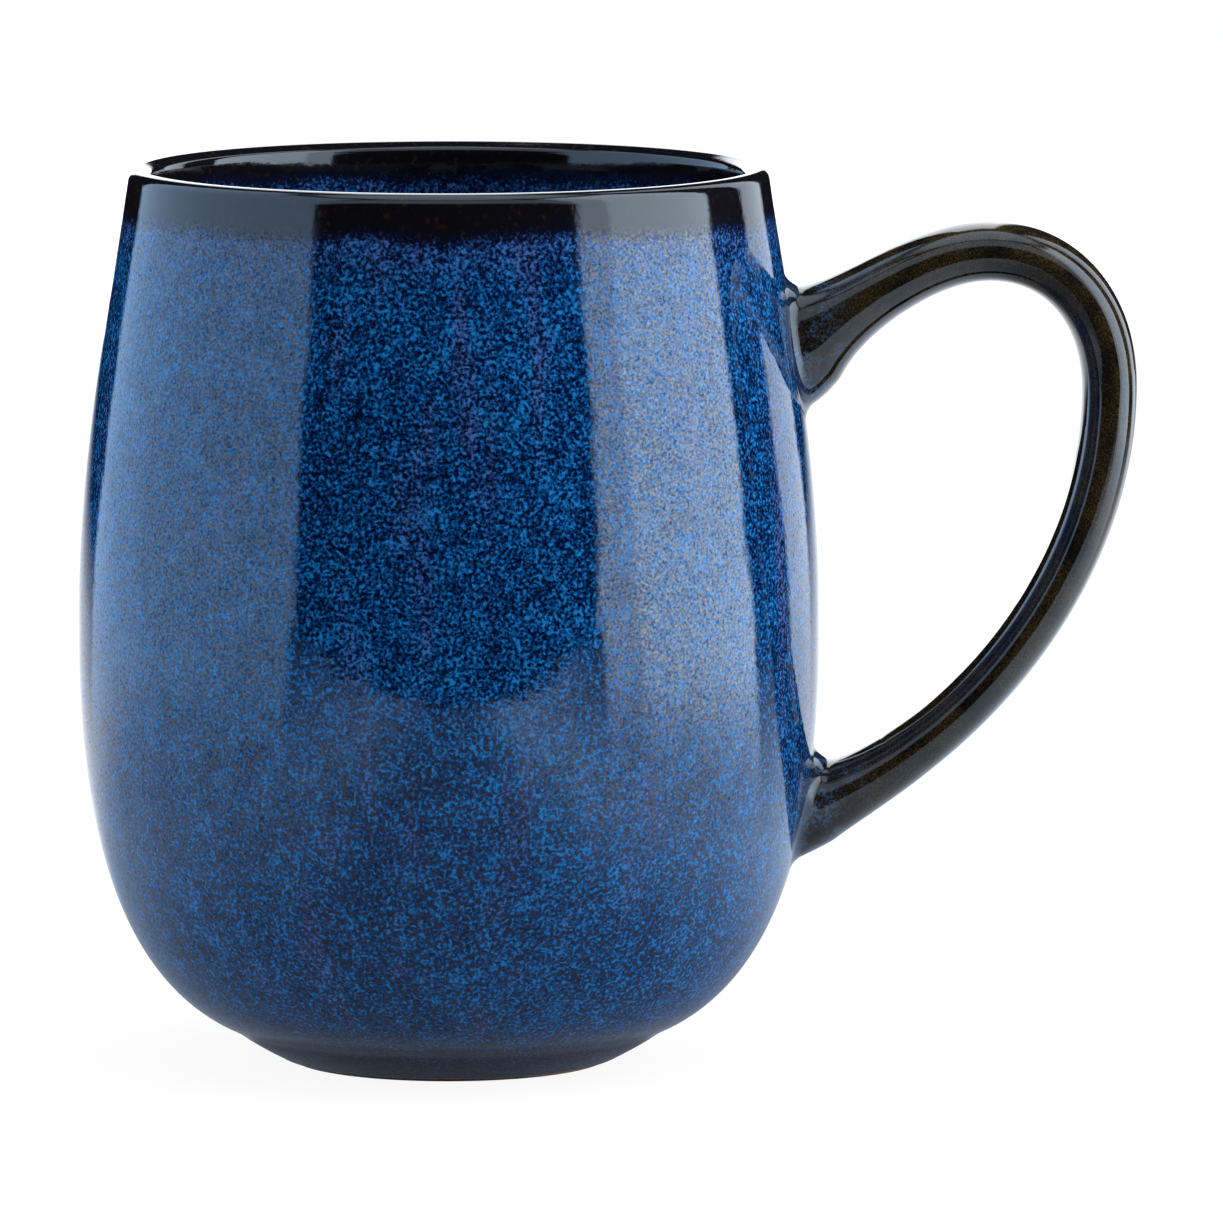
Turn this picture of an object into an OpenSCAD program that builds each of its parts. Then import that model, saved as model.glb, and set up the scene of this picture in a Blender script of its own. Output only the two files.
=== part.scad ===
// Barrel-shaped stoneware mug with a pulled strap handle.
// The cup wall, floor and foot ring are one thrown piece; the handle is a second piece stuck on with slip.
// Coats of glaze lie on the clay. Only the bottom edge of the foot ring is bare.
// The origin is the centre of the foot ring on the table, +Z is up, and the handle points along +X.

/* [Cup] */
// Height from the table to the top of the lip
height = 110; // [100:0.5:135]
// Largest outside radius, at the belly
belly_r = 45.4; // [42:0.1:55]
// Height of the belly above the table
belly_z = 55; // [48:0.5:62]
// Outside radius where the rounded lip begins
rim_r = 39.3; // [34:0.05:44]
// Inward lean of the wall at the lip, in degrees
rim_lean = 8.3; // [3:0.1:14]
// Reach of the belly curve upwards, towards the lip
upper_fullness = 20; // [12:0.5:26]
// Length of nearly straight wall under the lip
lip_straight = 16; // [8:0.5:20]
// Reach of the belly curve downwards, towards the foot
lower_fullness = 9.5; // [6:0.5:16]
// Reach of the rounded base outwards, from the foot
base_fullness = 21; // [15:0.5:24]
// Rise of the rounded base where it leaves the foot, in degrees
base_rise = 23; // [15:1:30]
// Thickness of the clay wall
wall = 3.6; // [3:0.1:5]
// Thickness of the finished lip, glaze included
lip_t = 3.2; // [2.6:0.1:4]
// Depth below the lip at which the wall starts to thin towards it on the inside
lip_taper_h = 11; // [8:0.5:16]
// Outward flare of the inside wall where it meets the lip, in degrees
lip_flare = 5; // [0:0.5:10]

/* [Floor and foot] */
// Thickness of the clay floor at its middle
floor_t = 4.6; // [3.5:0.1:7]
// Height on the outside below which the inside starts to round into the floor
floor_curve_z = 16; // [13:0.5:22]
// Radius at the groove between the foot ring and the rounded base
foot_join_r = 26.8; // [24:0.2:30]
// Height of that groove above the table
foot_h = 4.1; // [3.2:0.1:5.5]
// Outer radius of the flat face that the mug stands on
foot_r = 19.6; // [17:0.1:21]
// Width of that standing face
foot_face_w = 2.6; // [1.8:0.1:3.5]
// Outward bulge of the foot ring's side
foot_bulge = 0.2; // [0.1:0.1:0.8]
// Depth of the hollow inside the foot ring
recess_h = 2.4; // [1.5:0.1:3]

/* [Handle] */
// Height of the handle's middle line where it leaves the wall at the top
upper_root_z = 87.9; // [82:0.5:92]
// Upward slope of the handle at its upper root, in degrees
upper_root_rise = 32; // [20:1:40]
// Height of the handle's middle line at its crest
crest_z = 99.8; // [96:0.2:104]
// Distance of the crest from the cup's axis
crest_x = 66; // [62:0.5:70]
// Distance of the handle's outermost middle line from the cup's axis
reach_x = 80.9; // [76:0.1:90]
// Height of the handle's outermost point
reach_z = 82.7; // [78:0.5:86]
// Height of the handle's middle line where it meets the wall at the bottom
lower_root_z = 30.7; // [27:0.5:36]
// Slope of the handle at its lower root, in degrees
lower_root_rise = 20; // [12:1:30]
// Thickness of the clay strap at its crest
crest_t = 6.6; // [5:0.1:8]
// Thickness of the clay strap on its long lower sweep
sweep_t = 5.5; // [4.5:0.1:7]
// Width of the clay strap
strap_w = 12.2; // [10:0.1:15]
// Extra half thickness where the strap flares into the wall at the top
upper_flare = 5.6; // [2:0.1:7]
// Extra half thickness where the strap flares into the wall at the bottom
lower_flare = 2.6; // [1:0.1:4]
// Extra half width at both roots
root_flare_w = 1; // [0:0.1:2]

/* [Slip and glaze] */
// Thickness of the slip between the strap's ends and the wall
slip_t = 0.5; // [0.3:0.1:0.8]
// Height of the slip bead smoothed round each root
bead_r = 1.6; // [1:0.1:2.5]
// Thickness of every glaze coat
glaze_t = 0.4; // [0.3:0.05:0.6]
// Depth of the dark lip band outside, from the top of the lip
rim_band_out = 4.5; // [3.2:0.1:8]
// Depth of the dark lip band inside, from the top of the lip
rim_band_in = 3.2; // [2.6:0.1:8]
// Height of the bare clay edge at the bottom of the foot ring
bare_edge_h = 0.5; // [0.3:0.1:0.9]

/* [Hidden] */

// Smoothness: facets round the axis, steps along a wall curve, steps round the lip, steps up the foot,
// and points round the strap
$fn = 144;
curve_steps = 26;
lip_steps = 12;
foot_steps = 6;
strap_sides = 20;

blue_colour = [0.07, 0.19, 0.42];
dark_colour = [0.07, 0.055, 0.05];
slate_colour = [0.13, 0.17, 0.22];
clay_colour = [0.62, 0.47, 0.37];
slip_colour = [0.52, 0.38, 0.30];

// ---- Curves ----

function lerp(a, b, t) = a + (b - a) * t;
function unit(v) = v / norm(v);
function quarter_left(v) = [-v[1], v[0]];
function direction(degrees) = [cos(degrees), sin(degrees)];

// Point and direction on a cubic curve with end points p[0] and p[3] and pulls p[1] and p[2]
function cubic(p, t) = pow(1 - t, 3) * p[0] + 3 * pow(1 - t, 2) * t * p[1]
                     + 3 * (1 - t) * t * t * p[2] + pow(t, 3) * p[3];
function cubic_direction(p, t) = unit(pow(1 - t, 2) * (p[1] - p[0]) + 2 * (1 - t) * t * (p[2] - p[1])
                                    + t * t * (p[3] - p[2]));

// A point at the given depth to the left of the curve's direction, which is the clay side of every wall curve
function inset(p, t, depth) = cubic(p, t) + depth * quarter_left(cubic_direction(p, t));
function run(p, from, to, steps, depth) = [for (i = [0:steps]) inset(p, lerp(from, to, i / steps), depth)];

// Where a rising curve passes a height, by halving
function curve_at_z(p, z, low = 0, high = 1, turns = 30) =
    turns == 0 ? (low + high) / 2
    : cubic(p, (low + high) / 2)[1] < z ? curve_at_z(p, z, (low + high) / 2, high, turns - 1)
    : curve_at_z(p, z, low, (low + high) / 2, turns - 1);

// ---- Cup profile, as [radius, height]; the glazed outside is depth 0 ----

lip_radius = lip_t / 2;
clay_out = glaze_t;
clay_in = glaze_t + wall;

rim_direction = [-sin(rim_lean), cos(rim_lean)];
rim_end = [rim_r, height - lip_radius * (1 - sin(rim_lean))];
lip_centre = rim_end + lip_radius * quarter_left(rim_direction);
belly = [belly_r, belly_z];
foot_join = [foot_join_r, foot_h];

upper_wall = [belly, belly + [0, upper_fullness], rim_end - lip_straight * rim_direction, rim_end];
lower_wall = [foot_join, foot_join + base_fullness * direction(base_rise),
              belly - [0, lower_fullness], belly];

// The inside of the clay wall where it thins towards the lip
taper_turn = curve_at_z(upper_wall, height - lip_taper_h);
taper_start = inset(upper_wall, taper_turn, clay_in);
taper_end = lip_centre + (lip_radius - glaze_t) * direction(180 - lip_flare);
taper_pull = (taper_end[1] - taper_start[1]) / 3;
lip_taper = [taper_start, taper_start + taper_pull * cubic_direction(upper_wall, taper_turn),
             taper_end - taper_pull * direction(90 - lip_flare), taper_end];

// The inside floor, from its middle out to the wall
floor_z = recess_h + floor_t;
floor_turn = curve_at_z(lower_wall, floor_curve_z);
floor_end = inset(lower_wall, floor_turn, clay_in);
floor_flatness = 0.7;
floor_rounding = 0.2;
floor_curve = [[0, floor_z], [floor_flatness * floor_end[0], floor_z],
               floor_end - floor_rounding * floor_end[0] * cubic_direction(lower_wall, floor_turn),
               floor_end];

// The foot ring's side, from its foot up to the groove
foot_edge = [foot_r, 0];
foot_side_out = unit(foot_join - foot_edge);
foot_pull = norm(foot_join - foot_edge) / 3;
foot_bow = foot_bulge * 4 / 3 * [foot_side_out[1], -foot_side_out[0]];
foot_side = [foot_edge, foot_edge + foot_pull * foot_side_out + foot_bow,
             foot_join - foot_pull * foot_side_out + foot_bow, foot_join];
foot_glaze_start = curve_at_z(foot_side, bare_edge_h);
foot_inner_r = foot_r - foot_face_w;
recess_r = foot_inner_r - recess_h / 2;

// Where the dark lip band ends, outside and inside
band_end_out = curve_at_z(upper_wall, height - rim_band_out);
band_end_in = curve_at_z(lip_taper, height - rim_band_in);

function reversed(list) = [for (i = [len(list) - 1:-1:0]) list[i]];
function arc(centre, radius, from, to, steps) =
    [for (i = [0:steps]) centre + radius * direction(lerp(from, to, i / steps))];
function lip_arc(radius) = concat(arc(lip_centre, radius, rim_lean, 90, lip_steps / 2),
                                  arc(lip_centre, radius, 90, 180 - lip_flare, lip_steps / 2));
// The outside from the groove up to the dark lip band, and on up the band
function wall_run(depth) =
    concat(run(lower_wall, 0, 1, curve_steps, depth), run(upper_wall, 0, band_end_out, curve_steps, depth));
function band_run(depth) = run(upper_wall, band_end_out, 1, lip_steps, depth);
// The inside from the floor's middle up to the dark lip band, and on up the band, under this much glaze
function inner_run(glaze) =
    concat(run(floor_curve, 0, 1, curve_steps, glaze),
           run(lower_wall, floor_turn, 1, curve_steps, clay_in + glaze),
           run(upper_wall, 0, taper_turn, curve_steps, clay_in + glaze),
           run(lip_taper, 0, band_end_in, lip_steps, glaze));
function inner_band_run(glaze) = run(lip_taper, band_end_in, 1, lip_steps, glaze);

// Adjoining runs share an end point, which is dropped here
function without_doubles(list) =
    [for (i = [0:len(list) - 1]) if (i == 0 || norm(list[i] - list[i - 1]) > 0.001) list[i]];

module turned(outline) {
    rotate_extrude() polygon(without_doubles(outline));
}

// A coat of glaze between two runs that go the same way
module coat(over, under) {
    turned(concat(over, reversed(under)));
}

// Everything inside the outside surface at this depth, with no hollow
module filled_cup(depth) {
    turned(concat([[0, foot_h]], wall_run(depth), band_run(depth), [[0, height]]));
}

// ---- Handle: its middle line runs from the upper root to the lower root ----

function wall_r(z) = z < belly_z ? cubic(lower_wall, curve_at_z(lower_wall, z))[0]
                                 : cubic(upper_wall, curve_at_z(upper_wall, z))[0];
// The middle line ends this far inside the outside surface
root_depth = 1;
upper_root = [wall_r(upper_root_z) - root_depth, upper_root_z];
lower_root = [wall_r(lower_root_z) - root_depth, lower_root_z];
crest = [crest_x, crest_z];
reach = [reach_x, reach_z];
to_crest = crest - upper_root;
to_reach = reach - crest;
to_lower = lower_root - reach;

// Pulls of the three spans' curves, as shares of the span's width or height
leave_upper_root = 0.36;
reach_crest = 0.34;
leave_crest = 0.55;
enter_reach = 0.64;
leave_reach = 0.44;
enter_lower_root = 0.58;
strap_line = [
    [upper_root, upper_root + leave_upper_root * to_crest[0] * direction(upper_root_rise),
     crest - [reach_crest * to_crest[0], 0], crest],
    [crest, crest + [leave_crest * to_reach[0], 0],
     reach - [0, enter_reach * to_reach[1]], reach],
    [reach, reach + [0, leave_reach * to_lower[1]],
     lower_root - enter_lower_root * to_lower[0] * direction(lower_root_rise), lower_root]
];

// How fast the flares die away from the roots, and how square the strap's section is (2 is an ellipse)
upper_flare_len = 5;
lower_flare_len = 7.5;
width_flare_len = 6;
section_power = 2.4;

function strap_point(span, t) = cubic(strap_line[span], t);
function strap_direction(span, t) = cubic_direction(strap_line[span], t);

// Half thickness and half width of the strap at a point of its middle line.
// It thins from the crest on, most of the way by its outermost point, and flares towards both roots.
thinned_at_reach = 0.6;
function thinning(span, t) = span == 0 ? 0 : span == 1 ? thinned_at_reach * t : min(1, thinned_at_reach + t);
function flare(p, root, length) = exp(-norm(p - root) / length);
function strap_half_t(p, span, t) =
    lerp(crest_t, sweep_t, thinning(span, t)) / 2
    + upper_flare * flare(p, upper_root, upper_flare_len)
    + lower_flare * flare(p, lower_root, lower_flare_len);
function strap_half_w(p) =
    strap_w / 2
    + root_flare_w * flare(p, upper_root, width_flare_len)
    + root_flare_w * flare(p, lower_root, width_flare_len);

function signed_power(x, power) = sign(x) * pow(abs(x), power);
// One station of the strap: [point, direction, half thickness, half width]
function station(span, t) =
    let (p = strap_point(span, t))
    [p, strap_direction(span, t), strap_half_t(p, span, t), strap_half_w(p)];
function moved_back(s, distance) = [s[0] - distance * s[1], s[1], s[2], s[3]];

// A point of a station's rounded outline, grown outwards, and the whole outline
function ring_point(s, angle, extra) =
    let (q = s[0] + (s[2] + extra) * signed_power(cos(angle), 2 / section_power) * quarter_left(s[1]))
    [q[0], (s[3] + extra) * signed_power(sin(angle), 2 / section_power), q[1]];
function ring(s) = [for (j = [0:strap_sides - 1]) ring_point(s, 360 * j / strap_sides, 0)];

// The strap's stations are close together inside its two root zones, which end well clear of the beads.
// Both ends run on straight into the cup, to be trimmed by it.
tail = 9;
root_steps = 11;
upper_root_zone = 0.5;
lower_root_zone = 0.78;
upper_root_stations = concat(
    [for (back = [tail, tail / 2, tail / 4]) moved_back(station(0, 0), back)],
    [for (i = [0:root_steps]) station(0, upper_root_zone * i / root_steps)]
);
middle_stations = concat(
    [for (i = [1:3]) station(0, lerp(upper_root_zone, 1, i / 4))],
    [for (i = [0:7]) station(1, i / 8)],
    [for (i = [0:9]) station(2, lower_root_zone * i / 10)]
);
lower_root_stations = concat(
    [for (i = [0:root_steps]) station(2, lerp(lower_root_zone, 1, i / root_steps))],
    [for (back = [tail / 4, tail / 2, tail]) moved_back(station(2, 1), -back)]
);
strap_stations = concat(upper_root_stations, middle_stations, lower_root_stations);

// A closed skin over a row of rings that all have strap_sides points
module skinned(rings) {
    last = len(rings) - 1;
    n = strap_sides;
    sides = [for (i = [0:last - 1]) for (j = [0:n - 1])
        let (a = i * n + j, b = i * n + (j + 1) % n)
        each [[a, b, b + n], [a, b + n, a + n]]];
    start_cap = [[for (j = [n - 1:-1:0]) j]];
    end_cap = [[for (j = [0:n - 1]) last * n + j]];
    polyhedron([for (r = rings) for (p = r) p], concat(sides, start_cap, end_cap), convexity = 6);
}

module bare_strap() {
    skinned([for (s = strap_stations) ring(s)]);
}

// The strap with its slip beads: it is grown near the wall, by less the further a point is from the wall
bead_reach = 1.4;
bead_sink = 0.3;
function off_wall(q) = norm([q[0], q[1]]) - wall_r(q[2]);
function bead_growth(q) = max(0, bead_r * exp(-max(0, off_wall(q)) / bead_reach) - bead_sink);
function beaded_ring(s, extra) =
    let (bare = ring(s))
    [for (j = [0:strap_sides - 1]) ring_point(s, 360 * j / strap_sides, bead_growth(bare[j]) + extra)];

module beaded_strap(stations, extra) {
    skinned([for (s = stations) beaded_ring(s, extra)]);
}

module joint_slip(stations) {
    difference() {
        beaded_strap(stations, 0);
        filled_cup(clay_out);
        handle();
    }
}

// ---- Sub-parts ----

module cup_body() {
    color(clay_colour)
    turned(concat(
        [[0, recess_h], [recess_r, recess_h], [foot_inner_r, 0]],
        run(foot_side, 0, foot_glaze_start, foot_steps, 0),
        run(foot_side, foot_glaze_start, 1, foot_steps, clay_out),
        wall_run(clay_out),
        band_run(clay_out),
        lip_arc(lip_radius - glaze_t),
        reversed(inner_band_run(0)),
        reversed(inner_run(0))
    ));
}

module handle() {
    color(clay_colour)
    difference() {
        bare_strap();
        filled_cup(clay_out - slip_t);
    }
}

module upper_joint_slip() {
    color(slip_colour)
    joint_slip(upper_root_stations);
}

module lower_joint_slip() {
    color(slip_colour)
    joint_slip(lower_root_stations);
}

module outer_glaze() {
    color(blue_colour)
    difference() {
        coat(wall_run(0), wall_run(clay_out));
        beaded_strap(upper_root_stations, 0);
        beaded_strap(lower_root_stations, 0);
    }
}

module rim_glaze() {
    color(dark_colour)
    coat(concat(band_run(0), lip_arc(lip_radius), reversed(inner_band_run(glaze_t))),
         concat(band_run(clay_out), lip_arc(lip_radius - glaze_t), reversed(inner_band_run(0))));
}

module inner_glaze() {
    color(blue_colour)
    coat(inner_run(glaze_t), inner_run(0));
}

module foot_glaze() {
    color(slate_colour)
    coat(run(foot_side, foot_glaze_start, 1, foot_steps, 0),
         concat(run(foot_side, foot_glaze_start, 1, foot_steps, clay_out), [inset(lower_wall, 0, clay_out)]));
}

module underside_glaze() {
    color(slate_colour)
    turned([[0, recess_h - glaze_t], [lerp(recess_r, foot_inner_r, glaze_t / recess_h), recess_h - glaze_t],
            [recess_r, recess_h], [0, recess_h]]);
}

module handle_glaze() {
    color(dark_colour)
    difference() {
        beaded_strap(strap_stations, glaze_t);
        beaded_strap(strap_stations, 0);
        filled_cup(0);
    }
}

cup_body();
handle();
upper_joint_slip();
lower_joint_slip();
outer_glaze();
rim_glaze();
inner_glaze();
foot_glaze();
underside_glaze();
handle_glaze();
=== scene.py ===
"""A barrel-shaped stoneware mug with a speckled blue glaze and a dark handle and lip, in a white studio.

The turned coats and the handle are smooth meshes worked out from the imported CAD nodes.
"""

import math
from bisect import bisect_left

import bpy
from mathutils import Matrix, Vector
from mathutils.bvhtree import BVHTree


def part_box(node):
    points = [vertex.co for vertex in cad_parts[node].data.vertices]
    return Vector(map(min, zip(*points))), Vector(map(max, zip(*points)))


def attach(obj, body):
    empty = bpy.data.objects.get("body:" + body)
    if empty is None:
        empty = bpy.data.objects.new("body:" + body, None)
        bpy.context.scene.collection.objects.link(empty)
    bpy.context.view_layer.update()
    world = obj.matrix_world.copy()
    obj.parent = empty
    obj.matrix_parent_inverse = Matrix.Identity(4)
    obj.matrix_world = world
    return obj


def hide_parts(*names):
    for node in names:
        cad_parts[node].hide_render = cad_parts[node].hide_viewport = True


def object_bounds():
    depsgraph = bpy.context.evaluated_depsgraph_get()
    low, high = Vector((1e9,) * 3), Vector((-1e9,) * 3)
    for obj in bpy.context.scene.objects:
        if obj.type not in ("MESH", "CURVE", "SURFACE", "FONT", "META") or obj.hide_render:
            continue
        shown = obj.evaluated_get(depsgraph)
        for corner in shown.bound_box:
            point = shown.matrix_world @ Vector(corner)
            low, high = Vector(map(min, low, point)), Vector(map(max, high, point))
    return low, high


MM = 0.001

# Smoothness of the turned pieces and of the handle
TURN_STEPS = 256
WALL_STEP = 0.8 * MM
LIP_STEP = 0.12 * MM
STRAP_SIDES = 96
STRAP_RINGS = 260
SHARP_EDGE = math.radians(50)
HALVINGS = 24

# How near counts as there: on the mug's axis, in its middle plane, on the face that it stands on, at a
# point, and at the same ring of an outline
ON_AXIS = 1e-4 * MM
IN_PLANE = 0.001 * MM
ON_FLAT = 0.01 * MM
SAME_POINT = 0.03 * MM
SAME_RING = 0.1 * MM

# The thickness of the glaze, and the size of the fillet that it makes round the handle's roots. The size is
# averaged with this many neighbours on either side.
GLAZE = 0.4 * MM
FILLET = 2.2 * MM
LEAST_FILLET = 0.3 * MM
MOST_FILLET = 3 * MM
FILLET_EVENNESS = 5
FILLET_STEPS = 12
# The slip in that corner stops this far under the glaze
SLIP_GAP = 0.08 * MM
# The lip's thickness, and the rounding of the bare edges of the foot ring
LIP = 3.2 * MM
EDGE_ROUND = 0.25 * MM
EDGE_STEPS = 5
# How much of the outline the pooled glaze rounds at the groove above the foot ring, and how softly
GROOVE_REACH = 1.5 * MM
GROOVE_SOFTNESS = 5
# The strap's section: 2 is an ellipse, and more is squarer
SECTION_POWER = 2.4
STRAP_STEP = 0.25 * MM
# A point of the CAD strap can be the middle of its side from this share of its greatest half width
WIDE_SHARE = 0.85
# A place in the handle's hole, as shares of the handle's breadth and height
HOLE_ACROSS = 0.45
HOLE_UP = 0.55
# Past its last whole section the strap runs straight on into the wall, as far as TAIL. It goes on flaring
# until its middle line is there. This many stations before the last, it hardly flares yet.
TAIL = 14 * MM
TAIL_SOFTNESS = 2
CALM_STATION = 12
# How far each point of the handle's glaze is from the cup's wall, in millimetres, for its material
ROOT_DISTANCE = "root_distance"

# The patterns in the glazes and the clay: noise, as (cells to the millimetre, octaves, their roughness)
NOISE_MIDDLE = 0.5
SPECKS = (2.3, 1.6, 0.55)
WORMS = (1.35, 1.5, 0.5)
GRAIN = (3.1, 1.0, 0.5)
CLUSTERS = (0.3, 2.0, 0.5)
PATCHES = (0.035, 2.0, 0.5)
RUNS = (1.0, 3.0, 0.6)
LIP_FLECKS = (1.3, 1.0, 0.5)
PEEL = (0.9, 2.0, 0.5)
WAVES = (0.07, 2.0, 0.5)
HANDLE_SPECKS = (4.0, 2.0, 0.6)
HANDLE_CLUSTERS = (0.22, 3.0, 0.6)
HANDLE_WAVES = (0.10, 2.0, 0.5)
DRIFT = (2.3, 1.6, 0.6)
GRIT = (3.0, 4.0, 0.65)
MOTTLE = (0.25, 3.0, 0.5)
IRON = (1.6, 1.0, 0.5)
# What the glaze's runs are stretched by, in cells to the millimetre along x, y and z
STREAK_STRETCH = (0.22, 0.22, 0.02)
WANDER_STRETCH = (0.09, 0.09, 0.02)

# The two values of a pattern between which something fades in
WIDE_BAND = (0.3, 0.7)
WORM_BAND = (0.01, 0.09)
STREAK_BAND = (0.52, 0.70)
LIP_FLECK_BAND = (0.60, 0.72)
BROWN_BAND = (0.35, 0.62)
GOLD_BAND = (0.40, 0.74)
GOLD_CLUSTER_BAND = (0.32, 0.56)
DRIFT_BAND = (0.46, 0.60)
DRIFT_CLUSTER_BAND = (0.40, 0.60)
SEAM_BAND = (0.35, 0.55)
IRON_BAND = (0.64, 0.70)

# The blue glaze. Each pattern moves its colour this far along the ramps below, which go from the darkest
# to the brightest specks.
WORM_SHIFT = 0.13
CLUSTER_SHIFT = 0.20
PATCH_SHIFT = 0.10
STREAK_SHIFT = 0.12
LIP_SHIFT = -0.34
FOOT_SHIFT = -0.05
# How violet its runs and its edge at the lip are
STREAK_VIOLET = 0.75
LIP_VIOLET = 0.45
# Its mirroring, which is uneven by its specks and by a grain of its own
GLOSS = 0.51
SPECK_GLOSS = -1.8
GRAIN_GLOSS = 1.5
BLUE_ROUGHNESS = (0.035, 0.07)
# Where it changes, in millimetres. Within LIP_CROSSING of the lip's middle, the lip's dark edge goes from
# its height inside the cup to its height outside. Dark and violet come in over these heights about that
# edge, and slate over these heights above the table. The edges wander up and down by these amounts.
LIP_CROSSING = (-0.8, 0.2)
LIP_FADE = (-2.2, 0.9)
LIP_VIOLET_FADE = (-7.0, -1.5)
LIP_WANDER = -5.0
FOOT_FADE = (8.5, 3.4)
FOOT_WANDER = 3.0
BLUE_RAMP = [
    (0.34, (0.0002, 0.003, 0.018)),
    (0.47, (0.0007, 0.018, 0.076)),
    (0.56, (0.0020, 0.058, 0.198)),
    (0.70, (0.0090, 0.150, 0.410)),
]
VIOLET_RAMP = [
    (0.34, (0.003, 0.003, 0.013)),
    (0.47, (0.009, 0.016, 0.060)),
    (0.56, (0.022, 0.045, 0.155)),
    (0.70, (0.050, 0.100, 0.300)),
]
SLATE_RAMP = [
    (0.34, (0.016, 0.021, 0.034)),
    (0.47, (0.027, 0.038, 0.064)),
    (0.56, (0.040, 0.058, 0.098)),
    (0.70, (0.062, 0.095, 0.165)),
]
LIP_DARK = (0.0030, 0.0028, 0.0045, 1)
LIP_GOLD = (0.012, 0.008, 0.004, 1)

# The handle's glaze. Blue drifts over its roots, and a darker blue over their seams, within these distances
# from the cup's wall in millimetres.
HANDLE_BLACK = (0.0035, 0.0035, 0.0042, 1)
HANDLE_BROWN = (0.012, 0.0085, 0.0045, 1)
HANDLE_GOLD = (0.050, 0.035, 0.012, 1)
LEAST_GOLD = 0.25
DRIFT_BLUE = (0.02, 0.10, 0.24, 1)
DRIFT_REACH = (9.0, 0.5)
SEAM_BLUE = (0.006, 0.02, 0.06, 1)
SEAM_REACH = (1.2, 0.2)
HANDLE_ROUGHNESS = (0.04, 0.08)

# The bare clay
CLAY_DARK = (0.22, 0.105, 0.055, 1)
CLAY_PALE = (0.33, 0.19, 0.115, 1)
CLAY_GRIT = (0.42, 0.29, 0.20, 1)
CLAY_IRON = (0.05, 0.022, 0.012, 1)
MOST_GRIT = 0.45
CLAY_ROUGHNESS = (0.75, 0.92)

# How deep the waves and the orange peel are in each glaze, and the grit in the clay
BLUE_WAVE_DEPTH = 0.10 * MM
BLUE_PEEL_DEPTH = 0.010 * MM
HANDLE_WAVE_DEPTH = 0.08 * MM
HANDLE_PEEL_DEPTH = 0.006 * MM
GRIT_DEPTH = 0.05 * MM

# The studio round the mug, as what the glaze mirrors and as what lights it. Bearings go round from the
# camera's side, positive to the right, and heights are above the horizon, all in degrees. A panel is
# (from, to, bottom, top, light), and covers those before it. Its sides blur over EDGE on either hand, and
# its bottom and top over LIFT.
DARK_ROOM = (0.006, 0.006, 0.008)
WHITE = (1.0, 1.0, 1.0, 1.0)
EDGE = 1.5
LIFT = 4.0
MIRRORED = [
    (-105.0, 105.0, 29.0, 62.0, (0.85, 1.05, 1.35)),
    (-200.0, 200.0, 66.0, 100.0, (1.45, 1.75, 2.15)),
    (-141.0, -48.0, -12.0, 60.0, (1.0, 1.5, 2.2)),
    (48.0, 106.0, -12.0, 60.0, (2.5, 3.0, 3.6)),
    (60.0, 106.0, -12.0, 60.0, (3.7, 4.5, 5.4)),
    (129.0, 149.0, -12.0, 60.0, (1.7, 1.95, 2.3)),
    (-200.0, -166.0, -12.0, 54.0, (3.0, 3.1, 3.3)),
    (174.0, 200.0, -12.0, 54.0, (3.0, 3.1, 3.3)),
]
LIGHTING = [
    (-200.0, 200.0, 18.0, 60.0, (0.28, 0.28, 0.30)),
    (-200.0, 200.0, 60.0, 100.0, (3.0, 3.0, 3.1)),
    (-141.0, -52.0, -12.0, 60.0, (2.1, 2.1, 2.1)),
    (58.0, 120.0, -12.0, 60.0, (6.4, 6.4, 6.4)),
]
# The first panel of each list comes down like an arch: by ARCH_DROP at the bearings ARCH_SIDE
ARCH_SIDE = 48.0
ARCH_DROP = 17.0
ARCH_POWER = 4.0
# The table. Its front edge curves away from the mug to both sides. To glossy rays it is an emission of
# painted light and shade, which the glaze mirrors: a painted shadow under the foot, painted dimness in
# front, painted light to the left, to the right and behind, and far to the sides a painted reflection of
# the room's panels.
TABLE_SIDE = 1.5
TABLE_FRONT = 0.36
TABLE_CURVE = 0.5
TABLE_BACK = 1.2
TABLE_EDGE_STEPS = 24
# Painted shadow under the foot, painted dimness in front, and painted light to the left, to the right and
# behind
PAINTED_FOOT_SHADOW = (0.12, 0.14, 0.18, 1)
PAINTED_TABLE_DIM = (0.25, 0.29, 0.36, 1)
PAINTED_TABLE_LEFT_LIGHT = (0.62, 0.80, 1.05, 1)
PAINTED_TABLE_RIGHT_LIGHT = (1.05, 1.30, 1.6, 1)
PAINTED_TABLE_BACK_LIGHT = (1.15, 1.2, 1.3, 1)
# Where those painted colours come in, in metres from the mug's axis, and the height of the painted panels
# in it
FOOT_SHADOW_AT = (0.027, 0.024)
LEFT_AT = (-0.02, -0.12)
RIGHT_AT = (0.03, 0.12)
BEHIND_AT = (0.06, 0.20)
FAR_AT = (0.08, 0.50)
FAR_HEIGHT = -2.0
TABLE_GLOW = 0.92
TABLE_COLOUR = (0.08, 0.08, 0.08, 1)
TABLE_BOUNCE = (0.5, 0.5, 0.5, 1)

# The camera
CAMERA_DISTANCE = 1.505
CAMERA_PITCH = 6.95
AIM_RIGHT = 0.5 * MM
AIM_UP = 0.25 * MM
LENS = 361.0
CLIP_END = 10.0

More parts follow.
